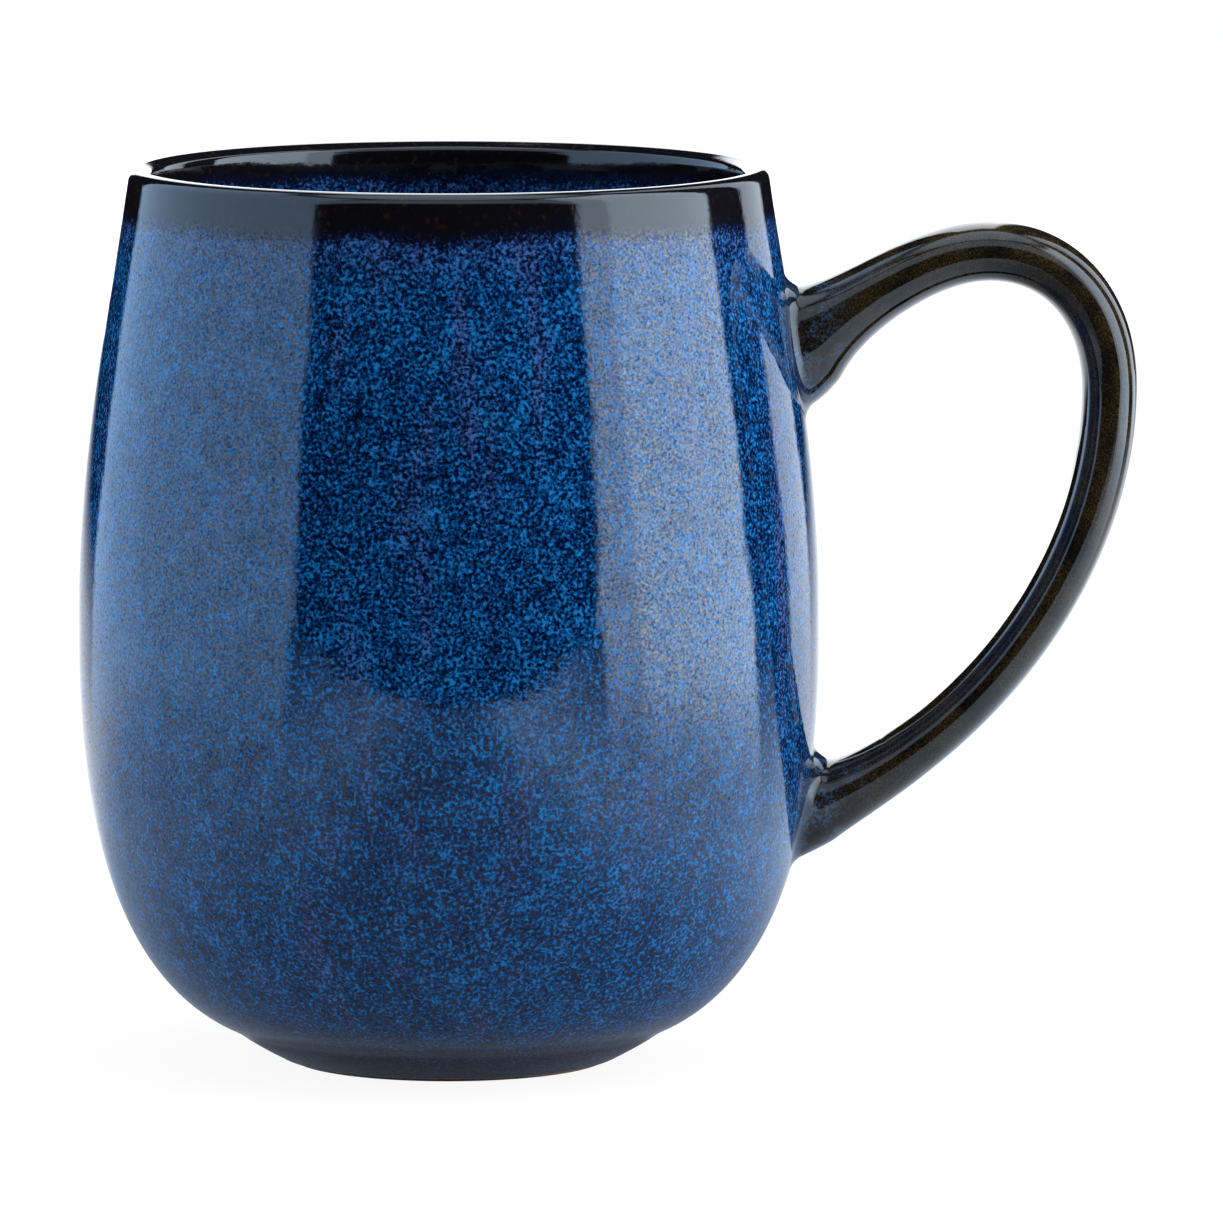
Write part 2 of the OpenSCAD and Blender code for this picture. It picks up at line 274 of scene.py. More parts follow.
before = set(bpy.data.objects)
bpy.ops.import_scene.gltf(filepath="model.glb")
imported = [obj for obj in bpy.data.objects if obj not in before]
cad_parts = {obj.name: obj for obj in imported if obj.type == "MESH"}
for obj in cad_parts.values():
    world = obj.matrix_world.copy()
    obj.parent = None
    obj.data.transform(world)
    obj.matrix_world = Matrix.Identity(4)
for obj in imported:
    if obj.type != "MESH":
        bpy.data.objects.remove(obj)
cad_low, cad_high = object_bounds()
scene = bpy.context.scene


# ---------------------------------------------------------------- curves and meshes


def lerp(a, b, t):
    return a + (b - a) * t


def smooth_line(points, step):
    """A smooth curve through the points, as points about step apart."""
    ends = [2 * points[0] - points[1], *points, 2 * points[-1] - points[-2]]
    line = []
    for a, b, c, d in zip(ends, ends[1:], ends[2:], ends[3:]):
        count = max(1, round((c - b).length / step))
        for i in range(count):
            t = i / count
            line.append(
                0.5 * (2 * b + (c - a) * t + (2 * a - 5 * b + 4 * c - d) * t * t
                       + (3 * b - a - 3 * c + d) * t ** 3)
            )
    return [*line, points[-1].copy()]


def softened(values, reach, rounds=2):
    """Each value averaged with its neighbours within this many places, with the ends kept."""
    for _ in range(rounds):
        last = len(values) - 1
        spans = [min(reach, i, last - i) for i in range(len(values))]
        values = [
            sum(values[i - k + 1:i + k + 1], values[i - k]) / (2 * k + 1)
            for i, k in enumerate(spans)
        ]
    return values


def leftward(line):
    """The unit vector to the left of a 2-D line at each of its points."""
    ahead = [*line[1:], line[-1]]
    behind = [line[0], *line[:-1]]
    return [Vector((b.y - a.y, a.x - b.x)).normalized() for a, b in zip(ahead, behind)]


def inset(line, depth):
    """The line moved to its left by this depth."""
    return [p + depth * n for p, n in zip(line, leftward(line))]


def new_piece(name, points, faces, material, slot, *nodes):
    """A smooth mesh piece that rides on the mug and stands for these CAD nodes."""
    mesh = bpy.data.meshes.new(name)
    mesh.from_pydata(points, [], faces)
    mesh.validate()
    mesh.polygons.foreach_set("use_smooth", [True] * len(mesh.polygons))
    mesh.set_sharp_from_angle(angle=SHARP_EDGE)
    mesh.materials.append(material)
    piece = bpy.data.objects.new(name, mesh)
    scene.collection.objects.link(piece)
    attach(piece, "root")
    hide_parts(*nodes)
    return piece


def turned(name, outline, material, slot, *nodes):
    """A closed outline of (radius, height) points, clockwise, turned round the mug's axis."""
    points, rows = [], []
    for p in outline:
        first = len(points)
        if p.x < ON_AXIS:
            points.append((0, 0, p.y))
            rows.append([first] * TURN_STEPS)
            continue
        rows.append(list(range(first, first + TURN_STEPS)))
        for k in range(TURN_STEPS):
            turn = 2 * math.pi * k / TURN_STEPS
            points.append((p.x * math.cos(turn), p.x * math.sin(turn), p.y))
    faces = []
    for row, following in zip(rows, [*rows[1:], rows[0]]):
        for k in range(TURN_STEPS):
            n = (k + 1) % TURN_STEPS
            corners = list(dict.fromkeys([row[k], row[n], following[n], following[k]]))
            if len(corners) > 2:
                faces.append(corners)
    return new_piece(name, points, faces, material, slot, *nodes)


# ---------------------------------------------------------------- the cup's shape, from the CAD nodes


def tree_of(*names):
    """A search tree over the faces of these CAD nodes."""
    points, faces = [], []
    for name in names:
        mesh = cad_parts[name].data
        first = len(points)
        points += [v.co.copy() for v in mesh.vertices]
        faces += [[first + i for i in p.vertices] for p in mesh.polygons]
    return BVHTree.FromPolygons(points, faces)


def showing_rings(names, outside):
    """The (radius, height) rings of turned nodes that show from outside, or from inside the cup.

    They are read from the side away from the handle, and come in order from the bottom up.
    """
    tree = tree_of(*names)
    centre = Vector((0, 0, (cad_low.z + cad_high.z) / 2))
    far = (cad_high - cad_low).length
    found = {}
    for name in names:
        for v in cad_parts[name].data.vertices:
            if v.co.x < 0:
                ring = Vector((math.hypot(v.co.x, v.co.y), v.co.z))
                found[round(ring.x / MM, 2), round(ring.y / MM, 2)] = ring
    rings = []
    for ring in found.values():
        place = Vector((-ring.x, 0, ring.y))
        out = (place - centre).normalized()
        start, aim = (centre + far * out, -out) if outside else (centre, out)
        hit = tree.ray_cast(start, aim)[0]
        if hit and (hit - place).length < GLAZE / 3:
            rings.append(ring)
    rings.sort(key=lambda p: math.atan2(p.x, centre.z - p.y))
    return [p for p, q in zip(rings, [None, *rings]) if q is None or (p - q).length > SAME_RING]


def foot_radii():
    """The inner and outer radius of the flat face that the mug stands on."""
    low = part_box("cup_body")[0].z
    found = [
        math.hypot(v.co.x, v.co.y)
        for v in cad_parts["cup_body"].data.vertices
        if v.co.z < low + ON_FLAT
    ]
    return min(found), max(found)


def cup_lines():
    """The glazed outside from the foot's edge to the top of the lip, and the glazed inside up to there."""
    outside = showing_rings(["foot_glaze", "outer_glaze", "rim_glaze"], True)
    inside = showing_rings(["inner_glaze", "rim_glaze"], False)
    top = max(outside, key=lambda p: p.y)
    shoulder = top.y - LIP
    outside = [p for p in outside if p.y < shoulder or p.x > top.x]
    inside = [p for p in inside if p.y < shoulder or p.x < top.x]
    foot_edge = Vector((foot_radii()[1], cad_low.z))
    outside = smooth_line([foot_edge, *outside, top], LIP_STEP)
    inside = smooth_line([Vector((0, inside[0].y)), *inside, top], LIP_STEP)
    return softened_groove(outside), inside


def softened_groove(line):
    """The outside with its groove above the foot ring rounded, as glaze pools in it."""
    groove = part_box("foot_glaze")[1].x
    near = [i for i, p in enumerate(line) if abs(p.x - groove) < GROOVE_REACH and p.y < groove]
    low, high = near[0], near[-1] + 1
    return [*line[:low], *softened(line[low:high], GROOVE_SOFTNESS), *line[high:]]


def stretch(line, low, high, step):
    """The stretch of a rising line between two heights, as points about step apart."""
    def crossing(height):
        for a, b in zip(line, line[1:]):
            if a.y <= height <= b.y and b.y > a.y:
                return [lerp(a, b, (height - a.y) / (b.y - a.y))]
        return []

    points = [*crossing(low), *[p for p in line if low < p.y < high], *crossing(high)]
    kept = [points[0]]
    for p in points[1:-1]:
        if (p - kept[-1]).length >= step and (p - points[-1]).length >= step / 2:
            kept.append(p)
    return [*kept, points[-1]]


def coat(line, depth=GLAZE):
    """The closed outline of a coat of glaze, on clay to the line's left, or right if depth is negative."""
    under = inset(line, depth)
    return [*line, *reversed(under)] if depth > 0 else [*under, *reversed(line)]


def quarter(centre, radius, start):
    """A quarter circle, anticlockwise from this many quarter turns."""
    turns = [math.pi / 2 * (start + i / EDGE_STEPS) for i in range(EDGE_STEPS + 1)]
    return [centre + radius * Vector((math.cos(t), math.sin(t))) for t in turns]


def clay_outline(outside, inside):
    """The thrown clay: wall, floor and foot ring in one, with its bare edges a little rounded."""
    inner_r, outer_r = foot_radii()
    recess_low, recess_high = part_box("underside_glaze")
    bare_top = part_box("foot_glaze")[0].z
    bare_r = next(p.x for p in outside if p.y >= bare_top)
    wall = inset(stretch(outside, bare_top, cad_high.z, WALL_STEP), GLAZE)
    hollow = inset(stretch(inside, inside[0].y, cad_high.z, WALL_STEP), -GLAZE)
    low = cad_low.z
    return [
        Vector((0, recess_high.z)),
        Vector((-recess_low.x, recess_high.z)),
        Vector((inner_r - EDGE_ROUND, low + EDGE_ROUND)),
        *quarter(Vector((inner_r + EDGE_ROUND, low + EDGE_ROUND)), EDGE_ROUND, 2)[1:],
        *quarter(Vector((outer_r - EDGE_ROUND, low + EDGE_ROUND)), EDGE_ROUND, 3)[:-1],
        Vector((bare_r, bare_top)),
        *wall,
        *reversed(hollow),
    ]


# ---------------------------------------------------------------- the handle's shape, from the CAD strap


def strap_stations():
    """Stations along the strap's middle line, from the upper root to the lower one.

    Each is a vector of the middle's x and z, the half thickness and the half width. A ring of the CAD strap
    has two points in the mug's middle plane, and halfway between them is the middle of its side.
    """
    points = [v.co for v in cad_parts["handle"].data.vertices]
    flat = [Vector((p.x, p.z)) for p in points if abs(p.y) < IN_PLANE]
    low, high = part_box("handle")
    sides = {}
    for p in points:
        if p.y > WIDE_SHARE * high.y:
            sides.setdefault((round(p.x / MM), round(p.z / MM)), []).append(p)
    found = {}
    for i, a in enumerate(flat):
        for b in flat[:i]:
            middle = (a + b) / 2
            near_x, near_z = round(middle.x / MM), round(middle.y / MM)
            for dx in (-1, 0, 1):
                for dz in (-1, 0, 1):
                    for p in sides.get((near_x + dx, near_z + dz), []):
                        if math.hypot(p.x - middle.x, p.z - middle.y) < SAME_POINT:
                            key = round(p.x / MM, 1), round(p.z / MM, 1)
                            found[key] = Vector((p.x, p.z, (a - b).length / 2, p.y))
    hole = Vector((lerp(low.x, high.x, HOLE_ACROSS), lerp(low.z, high.z, HOLE_UP)))
    return sorted(found.values(), key=lambda s: -math.atan2(s.y - hole.y, s.x - hole.x))


def tail(stations, wall_radius):
    """Stations that carry the strap straight on into the wall, beyond the last one."""
    last, before, calm = stations[-1], stations[-2], stations[-1 - CALM_STATION]
    step = last - before
    length = math.hypot(step.x, step.y)
    growth = [math.log((last[k] - calm[k]) / (before[k] - calm[k])) / length for k in (2, 3)]
    made, flared = [], 0
    count = round(TAIL / MM)
    for i in range(1, count + 1):
        along = i * TAIL / count
        x, z = last.x + step.x * along / length, last.y + step.y * along / length
        if x > wall_radius(z):
            flared = along
        sizes = [
            calm[k] + (last[k] - calm[k]) * math.exp(rate * flared)
            for k, rate in zip((2, 3), growth)
        ]
        made.append(Vector((x, z, *sizes)))
    return softened(made, TAIL_SOFTNESS)


def signed_power(x, power):
    """The power of x's size, with x's sign."""
    return math.copysign(abs(x) ** power, x)


class Strap:
    """The handle's strap as rings that can grow outwards and start and end at the cup's wall."""

    def __init__(self, outside):
        self.heights = [p.y for p in outside]
        self.radii = [p.x for p in outside]
        stations = strap_stations()
        start = tail(stations[::-1], self.wall_radius)
        line = [*start[::-1], *stations, *tail(stations, self.wall_radius)]
        self.line = smooth_line(line, STRAP_STEP)
        self.out = leftward(self.line)
        self.middle = len(self.line) / 2
        self.turns = [2 * math.pi * j / STRAP_SIDES for j in range(STRAP_SIDES)]
        self.fillets = [self.root_fillets(end) for end in (0, 1)]

    def wall_radius(self, height):
        """The radius of the cup's outside at this height."""
        i = bisect_left(self.heights, height)
        if i <= 0 or i >= len(self.heights):
            return self.radii[max(0, min(i, len(self.radii) - 1))]
        share = (height - self.heights[i - 1]) / (self.heights[i] - self.heights[i - 1])
        return lerp(self.radii[i - 1], self.radii[i], share)

    def off_wall(self, p):
        """How far the point is outside the cup's wall."""
        return math.hypot(p.x, p.y) - self.wall_radius(p.z)

    def point(self, place, turn, extra):
        """The point at a place along the line and a turn round the section, grown outwards by extra."""
        i = min(int(place), len(self.line) - 2)
        s = lerp(self.line[i], self.line[i + 1], place - i)
        out = lerp(self.out[i], self.out[i + 1], place - i)
        across = (s.z + extra) * signed_power(math.cos(turn), 2 / SECTION_POWER)
        side = (s.w + extra) * signed_power(math.sin(turn), 2 / SECTION_POWER)
        return Vector((s.x + across * out.x, side, s.y + across * out.y))

    def place_off_wall(self, turn, extra, distance, end):
        """Where a lengthwise line of the grown strap is this far from the wall, near one end."""
        near, far = (0, self.middle) if end == 0 else (len(self.line) - 1, self.middle)
        for _ in range(HALVINGS):
            place = (near + far) / 2
            if self.off_wall(self.point(place, turn, extra)) < distance:
                near = place
            else:
                far = place
        return far

    def fillet(self, turn, end):
        """The fillet's size on one lengthwise line: larger where the corner with the wall is sharper."""
        place = self.place_off_wall(turn, GLAZE, 0, end)
        here = self.point(place, turn, GLAZE)
        along = (self.point(place + 1, turn, GLAZE) - self.point(place - 1, turn, GLAZE)).normalized()
        out = self.point(place, turn, 2 * GLAZE) - here
        out = (out - out.dot(along) * along).normalized()
        radius = math.hypot(here.x, here.y)
        slope = (self.wall_radius(here.z + MM) - self.wall_radius(here.z - MM)) / (2 * MM)
        wall = Vector((here.x / radius, here.y / radius, -slope)).normalized()
        return min(MOST_FILLET, max(LEAST_FILLET, FILLET * (1 - out.dot(wall))))

    def root_fillets(self, end):
        """The fillet's size on every line, evened out between neighbours."""
        sizes = [self.fillet(turn, end) for turn in self.turns]
        near = range(-FILLET_EVENNESS, FILLET_EVENNESS + 1)
        return [sum(sizes[(j + k) % STRAP_SIDES] for k in near) / len(near) for j in range(STRAP_SIDES)]

    def flank(self, j, end, places):
        """The places along line j, and its growth there, for (growth, distance from the wall) pairs."""
        return [(self.place_off_wall(self.turns[j], e, d, end), e) for e, d in places]

    def skin(self, flank_of, extra):
        """Rings from one root to the other, which start and end with these flanks."""
        rings = []
        for j, turn in enumerate(self.turns):
            start = self.flank(j, 0, flank_of(self.fillets[0][j]))
            end = self.flank(j, 1, flank_of(self.fillets[1][j]))[::-1]
            first, last = start[-1][0], end[0][0]
            along = [(lerp(first, last, i / STRAP_RINGS), extra) for i in range(1, STRAP_RINGS)]
            rings.append([self.point(place, turn, e) for place, e in [*start, *along, *end]])
        return list(zip(*rings))

    def bead(self, end):
        """Rings of the slip that is smoothed into the corner at one root, from the wall up and back."""
        rings = []
        for j, turn in enumerate(self.turns):
            places = self.flank(j, end, slip_flank(self.fillets[end][j]))
            rings.append([self.point(place, turn, e) for place, e in places])
        rings = list(zip(*rings))
        return rings if end == 0 else rings[::-1]


def glaze_flank(fillet, extra):
    """The glaze at a root: sunk in the wall, then up the hollow of the fillet to the strap."""
    bend = [math.pi / 2 * k / FILLET_STEPS for k in range(FILLET_STEPS + 1)]
    hollow = [(extra + fillet * (1 - math.sin(t)), fillet * (1 - math.cos(t))) for t in bend]
    return [(extra + fillet, -GLAZE), *hollow]


def slip_flank(fillet):
    """The slip at a root, a little under the glaze, from the wall's clay to the strap's and down it."""
    size = fillet - SLIP_GAP
    bend = [math.pi / 2 * k / FILLET_STEPS for k in range(FILLET_STEPS + 1)]
    hollow = [(size * (1 - math.sin(t)), (size + GLAZE) * (1 - math.cos(t)) - GLAZE) for t in bend]
    return [*hollow, (-GLAZE / 2, size), (-GLAZE / 2, -2 * GLAZE), (size, -2 * GLAZE)]


def tube_faces(rings, first=0):
    """Faces between the rings of a tube, seen from outside, with its first point's number."""
    n = STRAP_SIDES
    return [
        (first + i * n + j, first + i * n + (j + 1) % n,
         first + (i + 1) * n + (j + 1) % n, first + (i + 1) * n + j)
        for i in range(len(rings) - 1)
        for j in range(n)
    ]


def handle_clay(strap, material):
    """The pulled strap of clay, closed at both ends inside the wall."""
    rings = strap.skin(lambda fillet: [(0, -GLAZE)], 0)
    points = [p for ring in rings for p in ring]
    last = len(points) - STRAP_SIDES
    caps = [list(range(STRAP_SIDES))[::-1], list(range(last, last + STRAP_SIDES))]
    return new_piece("handle_clay", points, [*tube_faces(rings), *caps], material, "stoneware", "handle")


def slip_bead(strap, end, name, node, material):
    """The ring of joining slip in the corner round one root."""
    rings = strap.bead(end)
    points = [p for ring in rings for p in ring]
    faces = [tuple(i % len(points) for i in f) for f in tube_faces([*rings, rings[0]])]
    return new_piece(name, points, faces, material, "joining_slip", node)


def handle_glaze(strap, material):
    """The glaze over the strap, a skin with a thickness that flows into the cup's glaze at both roots."""
    outer = strap.skin(lambda fillet: glaze_flank(fillet, GLAZE), GLAZE)
    under = strap.skin(lambda fillet: glaze_flank(fillet, 0), 0)
    points = [p for rings in (outer, under) for ring in rings for p in ring]
    n, half = STRAP_SIDES, len(points) // 2
    faces = tube_faces(outer) + [f[::-1] for f in tube_faces(under, half)]
    last = half - n
    for j in range(n):
        k = (j + 1) % n
        faces.append((half + j, half + k, k, j))
        faces.append((last + j, last + k, half + last + k, half + last + j))
    piece = new_piece("handle_glaze_coat", points, faces, material, "dark_glaze", "handle_glaze")
    distance = piece.data.attributes.new(ROOT_DISTANCE, "FLOAT", "POINT")
    distance.data.foreach_set("value", [strap.off_wall(p) / MM for p in points])
    return piece


# ---------------------------------------------------------------- materials


class Graph:
    """Short calls that build one node tree."""

    def __init__(self, tree):
        self.tree = tree
        tree.nodes.clear()

    def node(self, kind, inputs=None, **settings):
        made = self.tree.nodes.new("ShaderNode" + kind)
        for name, value in settings.items():
            setattr(made, name, value)
        for key, value in (inputs or {}).items():
            self.feed(made.inputs[key], value)
        return made

    def feed(self, socket, value):
        if isinstance(value, bpy.types.NodeSocket):
            self.tree.links.new(value, socket)
        else:
            socket.default_value = value

    def math(self, operation, *values):
        return self.node("Math", dict(enumerate(values)), operation=operation).outputs[0]

    def total(self, first, *rest):
        for value in rest:
            first = self.math("ADD", first, value)
        return first

    def product(self, first, *rest):
        for value in rest:
            first = self.math("MULTIPLY", first, value)
        return first

    def fade(self, value, low, high, out_low=0.0, out_high=1.0):
        """Goes smoothly from out_low to out_high as value goes from low to high."""
        made = self.node("MapRange", interpolation_type="SMOOTHSTEP")
        for key, v in enumerate((value, low, high, out_low, out_high)):
            self.feed(made.inputs[key], v)
        return made.outputs[0]

    def noise(self, vector, pattern):
        """One of the patterns above."""
        scale, detail, roughness = pattern
        inputs = {"Vector": vector, "Scale": scale, "Detail": detail, "Roughness": roughness}
        return self.node("TexNoise", inputs).outputs["Fac"]

    def swing(self, noise, share):
        """How far the noise is from its middle value, times a share."""
        return self.product(self.total(noise, -NOISE_MIDDLE), share)

    def stretched(self, vector, scales):
        return self.node("VectorMath", {0: vector, 1: scales}, operation="MULTIPLY").outputs[0]

    def from_axis(self, x, y):
        """The distance from the mug's axis."""
        return self.math("SQRT", self.total(self.product(x, x), self.product(y, y)))

    def mix(self, share, a, b):
        made = self.node("Mix", data_type="RGBA")
        for key, value in ((0, share), (6, a), (7, b)):
            self.feed(made.inputs[key], value)
        return made.outputs[2]

    def ramp(self, value, stops):
        made = self.node("ValToRGB", {0: value})
        elements = made.color_ramp.elements
        while len(elements) < len(stops):
            elements.new(1.0)
        for element, (place, colour) in zip(elements, stops):
            element.position = place
            element.color = (*colour, 1.0)
        return made.outputs[0]

    def bumps(self, *layers):
        """A normal from layers of (height, depth in metres)."""
        normal = None
        for height, depth in layers:
            inputs = {"Height": height, "Distance": depth, "Strength": 1.0}
            if normal:
                inputs["Normal"] = normal
            normal = self.node("Bump", inputs).outputs[0]
        return normal


def new_material(name):
    material = bpy.data.materials.new(name)
    material.use_nodes = True
    return material, Graph(material.node_tree)


def surface(g, colour, roughness, normal, gloss=0.5):
    """The shader of a glaze or clay, as the material's output."""
    shader = g.node("BsdfPrincipled", {
        "Base Color": colour, "Roughness": roughness, "Normal": normal, "Specular IOR Level": gloss,
    })
    g.node("OutputMaterial", {"Surface": shader.outputs[0]})


def millimetres(g):
    """The point on the piece, in millimetres."""
    place = g.node("TexCoord").outputs["Object"]
    return g.node("VectorMath", {0: place, "Scale": 1 / MM}, operation="SCALE").outputs[0]


def fired_skin(g, place, waves, wave_depth, peel_depth):
    """A normal with the slow waves and the fine orange peel of a fired glaze."""
    return g.bumps((g.noise(place, waves), wave_depth), (g.noise(place, PEEL), peel_depth))


def lip_edge(g, radius, wander):
    """The height of the lip's dark edge, in millimetres, this far from the mug's axis."""
    rim_low, rim_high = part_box("rim_glaze")
    inside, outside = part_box("inner_glaze")[1].z / MM, rim_low.z / MM
    middle = (rim_high.x - LIP / 2) / MM
    start, finish = LIP_CROSSING
    edge = g.fade(radius, middle + start, middle + finish, inside, outside)
    return g.total(edge, g.swing(wander, LIP_WANDER))


def cup_glaze(name):
    """The speckled blue glaze, which runs thin and dark at the lip and fades to slate at the foot."""
    material, g = new_material(name)
    place = millimetres(g)
    x, y, z = g.node("SeparateXYZ", {0: place}).outputs

    specks = g.noise(place, SPECKS)
    winding = g.math("ABSOLUTE", g.total(g.noise(place, WORMS), -NOISE_MIDDLE))
    worms = g.fade(winding, *WORM_BAND, 0.5, -0.5)
    clusters = g.noise(place, CLUSTERS)
    streaks = g.noise(g.stretched(place, STREAK_STRETCH), RUNS)
    wander = g.noise(g.stretched(place, WANDER_STRETCH), RUNS)

    above_edge = g.math("SUBTRACT", z, lip_edge(g, g.from_axis(x, y), wander))
    at_lip = g.fade(above_edge, *LIP_FADE)
    at_foot = g.fade(g.total(z, g.swing(wander, FOOT_WANDER)), *FOOT_FADE)
    level = g.total(
        specks,
        g.product(worms, WORM_SHIFT),
        g.swing(clusters, CLUSTER_SHIFT),
        g.swing(g.noise(place, PATCHES), PATCH_SHIFT),
        g.swing(streaks, STREAK_SHIFT),
        g.product(at_lip, LIP_SHIFT),
        g.product(at_foot, FOOT_SHIFT),
    )
    violet = g.ramp(level, VIOLET_RAMP)
    lip = g.mix(g.fade(g.noise(place, LIP_FLECKS), *LIP_FLECK_BAND), LIP_DARK, LIP_GOLD)
    colour = g.mix(g.fade(streaks, *STREAK_BAND, 0.0, STREAK_VIOLET), g.ramp(level, BLUE_RAMP), violet)
    colour = g.mix(g.fade(above_edge, *LIP_VIOLET_FADE, 0.0, LIP_VIOLET), colour, violet)
    colour = g.mix(at_lip, colour, lip)
    colour = g.mix(at_foot, colour, g.ramp(level, SLATE_RAMP))

    uneven = g.total(g.swing(specks, SPECK_GLOSS), g.swing(g.noise(place, GRAIN), GRAIN_GLOSS))
    off_lip, off_foot = g.math("SUBTRACT", 1.0, at_lip), g.math("SUBTRACT", 1.0, at_foot)
    gloss = g.total(GLOSS, g.product(uneven, off_lip, off_foot))
    roughness = g.fade(clusters, *WIDE_BAND, *BLUE_ROUGHNESS)
    surface(g, colour, roughness, fired_skin(g, place, WAVES, BLUE_WAVE_DEPTH, BLUE_PEEL_DEPTH), gloss)
    return material


def dark_glaze(name):
    """The handle's glaze: almost black and brown, with gold specks, and blue drifted on at the roots."""
    material, g = new_material(name)
    place = millimetres(g)
    off_wall = g.node("Attribute", attribute_name=ROOT_DISTANCE).outputs["Fac"]
    specks = g.noise(place, HANDLE_SPECKS)
    clusters = g.noise(place, HANDLE_CLUSTERS)
    colour = g.mix(g.fade(clusters, *BROWN_BAND), HANDLE_BLACK, HANDLE_BROWN)
    gold = g.product(g.fade(specks, *GOLD_BAND), g.fade(clusters, *GOLD_CLUSTER_BAND, LEAST_GOLD, 1.0))
    colour = g.mix(gold, colour, HANDLE_GOLD)
    drift = g.product(g.fade(off_wall, *DRIFT_REACH), g.fade(clusters, *DRIFT_CLUSTER_BAND))
    colour = g.mix(g.product(drift, g.fade(g.noise(place, DRIFT), *DRIFT_BAND)), colour, DRIFT_BLUE)
    seam = g.product(g.fade(off_wall, *SEAM_REACH), g.fade(specks, *SEAM_BAND))
    colour = g.mix(seam, colour, SEAM_BLUE)
    normal = fired_skin(g, place, HANDLE_WAVES, HANDLE_WAVE_DEPTH, HANDLE_PEEL_DEPTH)
    surface(g, colour, g.fade(clusters, *WIDE_BAND, *HANDLE_ROUGHNESS), normal)
    return material


def bare_clay(name):
    """Fired stoneware: warm and matt, with fine grit and iron specks."""
    material, g = new_material(name)
    place = millimetres(g)
    grit = g.noise(place, GRIT)
    body = g.mix(g.fade(g.noise(place, MOTTLE), *WIDE_BAND), CLAY_DARK, CLAY_PALE)
    colour = g.mix(g.fade(grit, *WIDE_BAND, 0.0, MOST_GRIT), body, CLAY_GRIT)
    colour = g.mix(g.fade(g.noise(place, IRON), *IRON_BAND), colour, CLAY_IRON)
    surface(g, colour, g.fade(grit, *WIDE_BAND, *CLAY_ROUGHNESS), g.bumps((grit, GRIT_DEPTH)))
    return material


# ---------------------------------------------------------------- the studio


def panel_share(g, panel, bearing, height):
    """1 in a panel's directions and 0 outside them, with soft edges."""
    low, high, bottom, top, _ = panel
    return g.product(
        g.fade(bearing, low - EDGE, low + EDGE),
        g.fade(bearing, high + EDGE, high - EDGE),
        g.fade(height, bottom - LIFT, bottom + LIFT),
        g.fade(height, top + LIFT, top - LIFT),
    )


def surroundings(g, panels, bearing, height):
    """The colour of the room in each direction: dark walls with these panels, the first one arched."""
    side = g.math("POWER", g.math("ABSOLUTE", g.product(bearing, 1 / ARCH_SIDE)), ARCH_POWER)
    arched = g.total(height, g.product(side, ARCH_DROP))
    first, *others = panels
    colour = g.mix(panel_share(g, first, bearing, arched), (*DARK_ROOM, 1.0), (*first[-1], 1.0))
    for panel in others:
        colour = g.mix(panel_share(g, panel, bearing, height), colour, (*panel[-1], 1.0))
    return colour


def bearing_of(g, x, y):
    """The bearing in degrees of something x to the right of the mug and y behind it."""
    return g.math("DEGREES", g.math("ARCTAN2", x, g.product(y, -1.0)))


def studio_light():
    """Soft light from a dark room with pale panels round the mug. The backdrop is white to the camera."""
    world = bpy.data.worlds.new("studio")
    scene.world = world
    world.use_nodes = True
    g = Graph(world.node_tree)
    toward = g.node("TexCoord").outputs["Generated"]
    x, y, z = g.node("SeparateXYZ", {0: toward}).outputs
    bearing = bearing_of(g, x, y)
    height = g.math("DEGREES", g.math("ARCSINE", z))
    ray = g.node("LightPath").outputs
    lighting = surroundings(g, LIGHTING, bearing, height)
    mirrored = surroundings(g, MIRRORED, bearing, height)
    colour = g.mix(ray["Is Glossy Ray"], lighting, mirrored)
    colour = g.mix(ray["Is Camera Ray"], colour, WHITE)
    light = g.node("Background", {"Color": colour, "Strength": 1.0})
    g.node("OutputWorld", {"Surface": light.outputs[0]})


def painted_table_light(g, place):
    """The table's painted light and shadow, and its painted reflection of the panels far to the sides, as
    the glaze mirrors them.
    """
    x, y, _ = g.node("SeparateXYZ", {0: place}).outputs
    colour = g.mix(g.fade(x, *LEFT_AT), PAINTED_TABLE_DIM, PAINTED_TABLE_LEFT_LIGHT)
    colour = g.mix(g.fade(x, *RIGHT_AT), colour, PAINTED_TABLE_RIGHT_LIGHT)
    colour = g.mix(g.fade(y, *BEHIND_AT), colour, PAINTED_TABLE_BACK_LIGHT)
    far = surroundings(g, MIRRORED, bearing_of(g, x, y), FAR_HEIGHT)
    colour = g.mix(g.fade(g.math("ABSOLUTE", x), *FAR_AT), colour, far)
    return g.mix(g.fade(g.from_axis(x, y), *FOOT_SHADOW_AT), colour, PAINTED_FOOT_SHADOW)


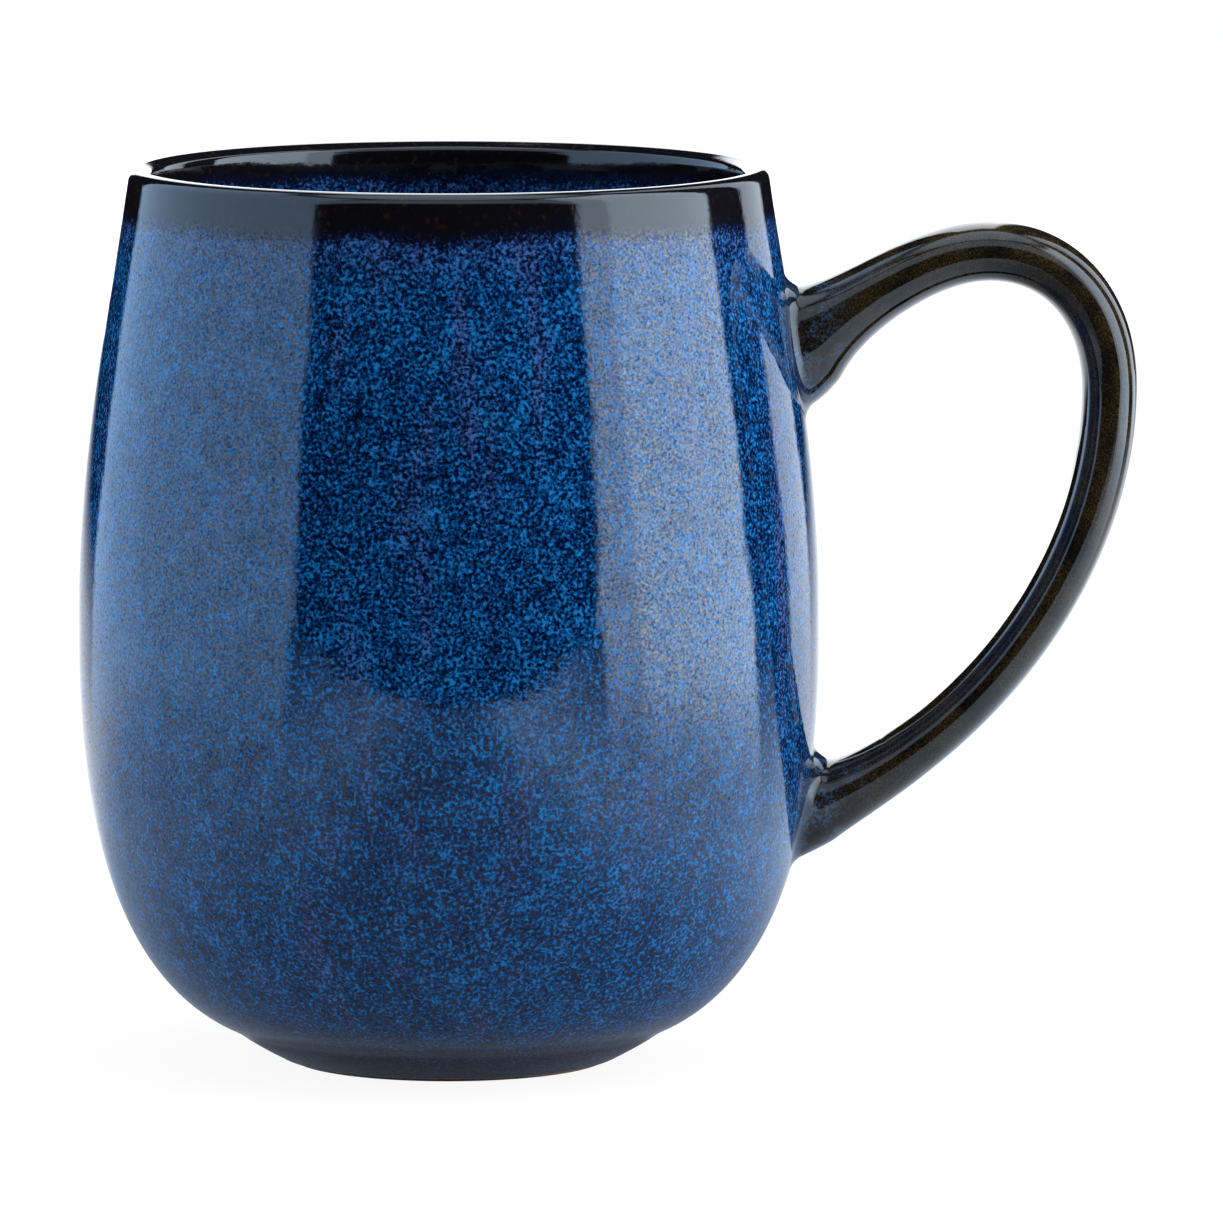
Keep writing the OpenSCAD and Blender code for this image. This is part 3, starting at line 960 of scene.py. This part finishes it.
def table():
    """A pale table that ends a little in front of the mug, so bright that the mug's shadow hardly shows.
    Glossy rays see its painted light and shadow instead.
    """
    material, g = new_material("pale_table")
    shape = g.node("NewGeometry").outputs
    # Glossy rays see the table as an emission of painted light, painted shadow and painted panel
    # reflections
    painted_glow = g.node("Emission", {"Color": painted_table_light(g, shape["Position"])}).outputs[0]
    glow = g.node("Emission", {"Strength": TABLE_GLOW}).outputs[0]
    matt = g.node("BsdfDiffuse", {"Color": TABLE_COLOUR}).outputs[0]
    seen = g.node("AddShader", {0: glow, 1: matt}).outputs[0]
    bounce = g.node("BsdfDiffuse", {"Color": TABLE_BOUNCE}).outputs[0]
    clear = g.node("BsdfTransparent").outputs[0]
    ray = g.node("LightPath").outputs
    mixed = g.node("MixShader", {0: ray["Is Camera Ray"], 1: bounce, 2: seen}).outputs[0]
    mixed = g.node("MixShader", {0: ray["Is Glossy Ray"], 1: mixed, 2: painted_glow}).outputs[0]
    mixed = g.node("MixShader", {0: shape["Backfacing"], 1: mixed, 2: clear}).outputs[0]
    g.node("OutputMaterial", {"Surface": mixed})
    mesh = bpy.data.meshes.new("table")
    low = cad_low.z
    edge = [lerp(-TABLE_SIDE, TABLE_SIDE, i / TABLE_EDGE_STEPS) for i in range(TABLE_EDGE_STEPS + 1)]
    corners = [(x, -TABLE_FRONT - TABLE_CURVE * x * x, low) for x in edge]
    corners += [(TABLE_SIDE, TABLE_BACK, low), (-TABLE_SIDE, TABLE_BACK, low)]
    mesh.from_pydata(corners, [], [range(len(corners))])
    mesh.materials.append(material)
    top = bpy.data.objects.new("table", mesh)
    scene.collection.objects.link(top)


def camera():
    """A long lens far from the mug, a little above it, aimed at its middle."""
    middle = (cad_low + cad_high) / 2
    aim = Vector((middle.x + AIM_RIGHT, 0, middle.z + AIM_UP))
    made = bpy.data.cameras.new("camera")
    made.lens = LENS
    made.clip_end = CLIP_END
    holder = bpy.data.objects.new("camera", made)
    scene.collection.objects.link(holder)
    pitch = math.radians(CAMERA_PITCH)
    holder.location = aim + CAMERA_DISTANCE * Vector((0, -math.cos(pitch), math.sin(pitch)))
    holder.rotation_euler = (math.pi / 2 - pitch, 0, 0)
    scene.camera = holder


# ---------------------------------------------------------------- the mug


def build_cup(outside, inside, clay):
    """The cup's clay and its five coats of glaze."""
    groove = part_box("outer_glaze")[0].z
    band_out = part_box("outer_glaze")[1].z
    band_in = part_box("inner_glaze")[1].z
    bare_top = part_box("foot_glaze")[0].z
    top = cad_high.z
    blue = cup_glaze("blue_glaze")
    dark_lip = cup_glaze("lip_glaze")
    slate = cup_glaze("slate_glaze")

    turned("cup_clay", clay_outline(outside, inside), clay, "stoneware", "cup_body")
    belly = coat(stretch(outside, groove, band_out, WALL_STEP))
    turned("outer_glaze_coat", belly, blue, "blue_glaze", "outer_glaze")
    foot = coat(stretch(outside, bare_top, groove, LIP_STEP))
    turned("foot_glaze_coat", foot, slate, "slate_glaze", "foot_glaze")
    down_inside = stretch(inside, band_in, top, LIP_STEP)[-2::-1]
    lip = coat(stretch(outside, band_out, top, LIP_STEP) + down_inside)
    turned("rim_glaze_coat", lip, dark_lip, "dark_glaze", "rim_glaze")
    bowl = coat(stretch(inside, inside[0].y, band_in, WALL_STEP), -GLAZE)
    turned("inner_glaze_coat", bowl, blue, "blue_glaze", "inner_glaze")
    low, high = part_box("underside_glaze")
    disc = [
        Vector((0, low.z)), Vector((high.x, low.z)),
        Vector((high.x - GLAZE / 2, high.z)), Vector((0, high.z)),
    ]
    turned("underside_glaze_coat", disc, slate, "slate_glaze", "underside_glaze")


def build_handle(outside, clay):
    """The handle's clay, its glaze, and the slip that joins it to the cup."""
    strap = Strap(outside)
    handle_clay(strap, clay)
    handle_glaze(strap, dark_glaze("handle_glaze"))
    slip_bead(strap, 0, "upper_slip_bead", "upper_joint_slip", clay)
    slip_bead(strap, 1, "lower_slip_bead", "lower_joint_slip", clay)


outside_line, inside_line = cup_lines()
stoneware = bare_clay("stoneware")
build_cup(outside_line, inside_line, stoneware)
build_handle(outside_line, stoneware)
studio_light()
table()
camera()
scene.view_settings.view_transform = "Standard"
